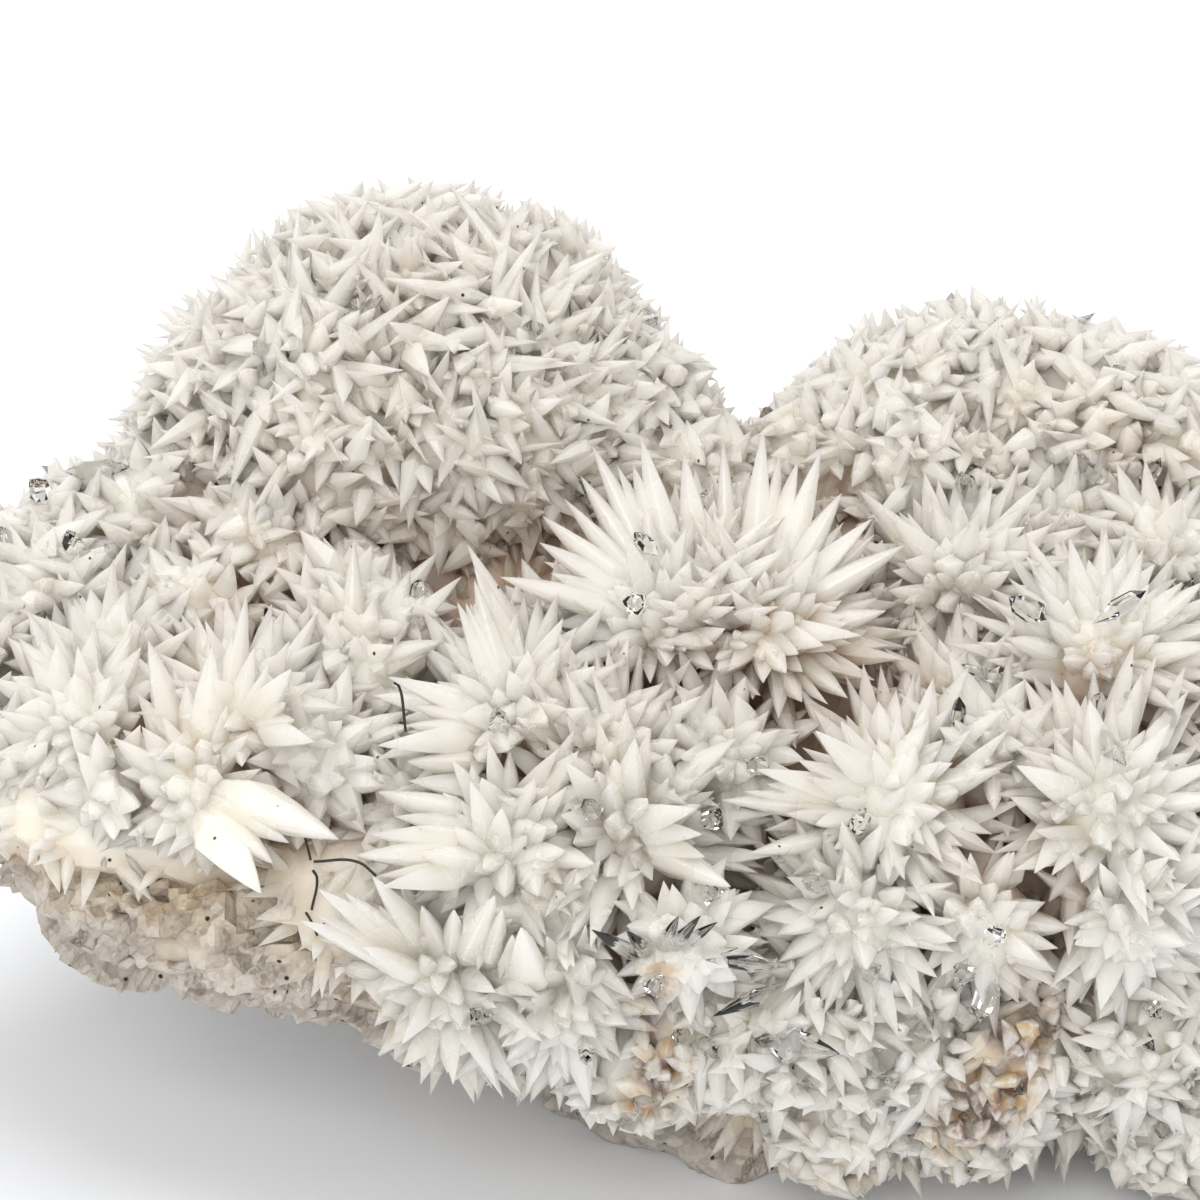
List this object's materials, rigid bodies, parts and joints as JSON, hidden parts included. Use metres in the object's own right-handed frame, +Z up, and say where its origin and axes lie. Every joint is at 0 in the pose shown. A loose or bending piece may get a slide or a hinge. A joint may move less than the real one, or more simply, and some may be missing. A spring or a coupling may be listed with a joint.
{
  "type": "calcite crystal cluster",
  "caption": "Low mound of white dogtooth calcite sprays with domes at the back, grown over a rough granular matrix that rests on a small flat spot.",
  "frame": {"origin": "middle of the flat spot under the matrix that the specimen rests on", "axes": "+X to the right along the specimen's length, +Y to the back where the two domes are, +Z up"},
  "size_m": [0.2105, 0.1212, 0.1065],
  "materials": {
    "matrix": "rough, granular, unpolished",
    "calcite": "milky translucent, vitreous crystal faces"
  },
  "bodies": {
    "root": {"matrix": "matrix", "crystals": "calcite"}
  },
  "joints": []
}
